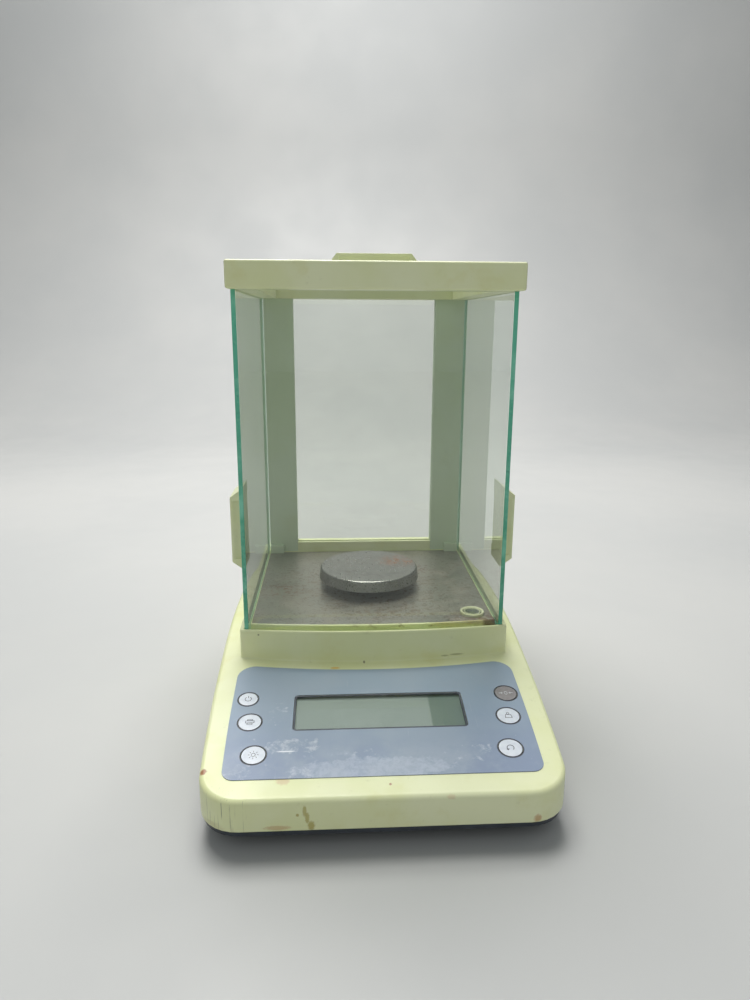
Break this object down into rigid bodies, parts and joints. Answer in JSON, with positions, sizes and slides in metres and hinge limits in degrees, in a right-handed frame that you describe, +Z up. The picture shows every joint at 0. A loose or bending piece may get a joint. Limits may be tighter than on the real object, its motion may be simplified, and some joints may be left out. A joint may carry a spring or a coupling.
{
  "type": "analytical balance",
  "caption": "Analytical balance: wedge-shaped base with control panel, glass draft shield with sliding doors, round pan on a force-balance cell.",
  "frame": {"origin": "centre of the footprint on the bench, under the feet", "axes": "+Z up, +Y from the control panel to the rear connectors, +X to the right of a user who faces the panel"},
  "size_m": [0.222, 0.34, 0.3394],
  "materials": {
    "shell_plastic": "moulded cream-green plastic, semi-gloss",
    "tray_paint": "dark slate paint on a cast base plate",
    "overlay_film": "fine matt blue-grey film",
    "key_white": "matt white key face",
    "key_grey": "matt grey key face",
    "lens_clear": "clear display lens",
    "black_plastic": "black moulding",
    "lcd_panel": "grey-green display panel",
    "circuit_board": "green solder mask",
    "stainless": "satin stainless steel",
    "pane_glass": "float glass with green edges",
    "cast_alloy": "machined casting",
    "coil_copper": "enamelled copper wire",
    "yoke_iron": "plated soft iron",
    "former_plastic": "moulded coil former",
    "level_plastic": "cream level cup",
    "level_liquid": "clear level lens over the liquid",
    "foot_rubber": "soft black rubber",
    "screw_steel": "zinc-plated screws"
  },
  "bodies": {
    "base": {"upper_housing": "shell_plastic", "bottom_tray": "tray_paint", "control_overlay": "overlay_film", "lcd_window": "lens_clear", "lcd_bezel": "black_plastic", "lcd_module": "lcd_panel", "display_board": "circuit_board", "key_switches": "black_plastic", "main_board": "circuit_board", "signal_shield": "stainless", "floor_plate": "stainless", "front_glass": "pane_glass", "rear_glass": "pane_glass", "top_frame": "shell_plastic", "rear_post_left": "shell_plastic", "rear_post_right": "shell_plastic", "rear_sill": "shell_plastic", "pivot_flexures": "stainless", "position_sensor": "black_plastic", "cell_base": "cast_alloy", "magnet_yoke": "yoke_iron", "cell_magnet": "yoke_iron", "pole_piece": "yoke_iron", "cell_cover": "cast_alloy", "level_cup": "level_plastic", "level_lens": "level_liquid", "rear_panel": "cast_alloy", "dc_inlet": "black_plastic", "serial_port": "stainless", "base_screws": "screw_steel", "post_screws": "screw_steel", "cell_screws": "screw_steel", "board_screws": "screw_steel", "rear_feet": "foot_rubber"},
    "left_door": {"left_door_glass": "pane_glass", "left_door_handle": "shell_plastic"},
    "right_door": {"right_door_glass": "pane_glass", "right_door_handle": "shell_plastic"},
    "top_door": {"top_door_glass": "pane_glass", "top_door_handle": "shell_plastic"},
    "pan": {"weighing_pan": "stainless"},
    "load_path": {"load_receiver": "cast_alloy", "coupling_strip": "stainless", "pan_support": "stainless"},
    "upper_link": {"upper_guide": "cast_alloy"},
    "lower_link": {"lower_guide": "cast_alloy"},
    "lever": {"lever_beam": "cast_alloy", "coil_former": "former_plastic", "coil_winding": "coil_copper"},
    "foot_left": {"left_foot": "black_plastic", "left_foot_pad": "foot_rubber"},
    "foot_right": {"right_foot": "black_plastic", "right_foot_pad": "foot_rubber"},
    "key_power": {"key_power": "key_white"},
    "key_print": {"key_print": "key_white"},
    "key_backlight": {"key_backlight": "key_white"},
    "key_tare": {"key_tare": "key_grey"},
    "key_calibrate": {"key_calibrate": "key_white"},
    "key_mode": {"key_mode": "key_white"}
  },
  "joints": [
    {"name": "left_door_slide", "type": "slide", "parent": "base", "child": "left_door", "axis": [0, 1, 0], "range_m": [0, 0.14]},
    {"name": "right_door_slide", "type": "slide", "parent": "base", "child": "right_door", "axis": [0, 1, 0], "range_m": [0, 0.14]},
    {"name": "top_door_slide", "type": "slide", "parent": "base", "child": "top_door", "axis": [0, 1, 0], "range_m": [0, 0.11]},
    {"name": "receiver_travel", "type": "slide", "parent": "base", "child": "load_path", "axis": [0, 0, -1], "range_m": [0, 0.0003], "stiffness_N_per_m": 40000},
    {"name": "upper_guide_hinge", "type": "hinge", "parent": "base", "child": "upper_link", "pos_m": [0, 0.11, 0.065], "axis": [1, 0, 0], "range_deg": [0, 0.33]},
    {"name": "lower_guide_hinge", "type": "hinge", "parent": "base", "child": "lower_link", "pos_m": [0, 0.11, 0.027], "axis": [1, 0, 0], "range_deg": [0, 0.33]},
    {"name": "lever_hinge", "type": "hinge", "parent": "base", "child": "lever", "pos_m": [0, 0.078, 0.047], "axis": [1, 0, 0], "range_deg": [0, 0.96]},
    {"name": "pan_lift", "type": "slide", "parent": "load_path", "child": "pan", "axis": [0, 0, 1], "range_m": [0, 0.1]},
    {"name": "left_foot_turn", "type": "hinge", "parent": "base", "child": "foot_left", "pos_m": [-0.078, -0.138, 0], "axis": [0, 0, 1], "range_deg": [-720, 720]},
    {"name": "right_foot_turn", "type": "hinge", "parent": "base", "child": "foot_right", "pos_m": [0.078, -0.138, 0], "axis": [0, 0, 1], "range_deg": [-720, 720]},
    {"name": "key_power_press", "type": "slide", "parent": "base", "child": "key_power", "axis": [0, 0.1736, -0.9848], "range_m": [0, 0.0006], "stiffness_N_per_m": 1200},
    {"name": "key_print_press", "type": "slide", "parent": "base", "child": "key_print", "axis": [0, 0.1736, -0.9848], "range_m": [0, 0.0006], "stiffness_N_per_m": 1200},
    {"name": "key_backlight_press", "type": "slide", "parent": "base", "child": "key_backlight", "axis": [0, 0.1736, -0.9848], "range_m": [0, 0.0006], "stiffness_N_per_m": 1200},
    {"name": "key_tare_press", "type": "slide", "parent": "base", "child": "key_tare", "axis": [0, 0.1736, -0.9848], "range_m": [0, 0.0006], "stiffness_N_per_m": 1200},
    {"name": "key_calibrate_press", "type": "slide", "parent": "base", "child": "key_calibrate", "axis": [0, 0.1736, -0.9848], "range_m": [0, 0.0006], "stiffness_N_per_m": 1200},
    {"name": "key_mode_press", "type": "slide", "parent": "base", "child": "key_mode", "axis": [0, 0.1736, -0.9848], "range_m": [0, 0.0006], "stiffness_N_per_m": 1200}
  ],
  "couplings": [
    {"joint": "upper_guide_hinge", "follows": "receiver_travel", "rad_per_m": 18.518},
    {"joint": "lower_guide_hinge", "follows": "receiver_travel", "rad_per_m": 18.518},
    {"joint": "lever_hinge", "follows": "receiver_travel", "rad_per_m": 55.556}
  ]
}
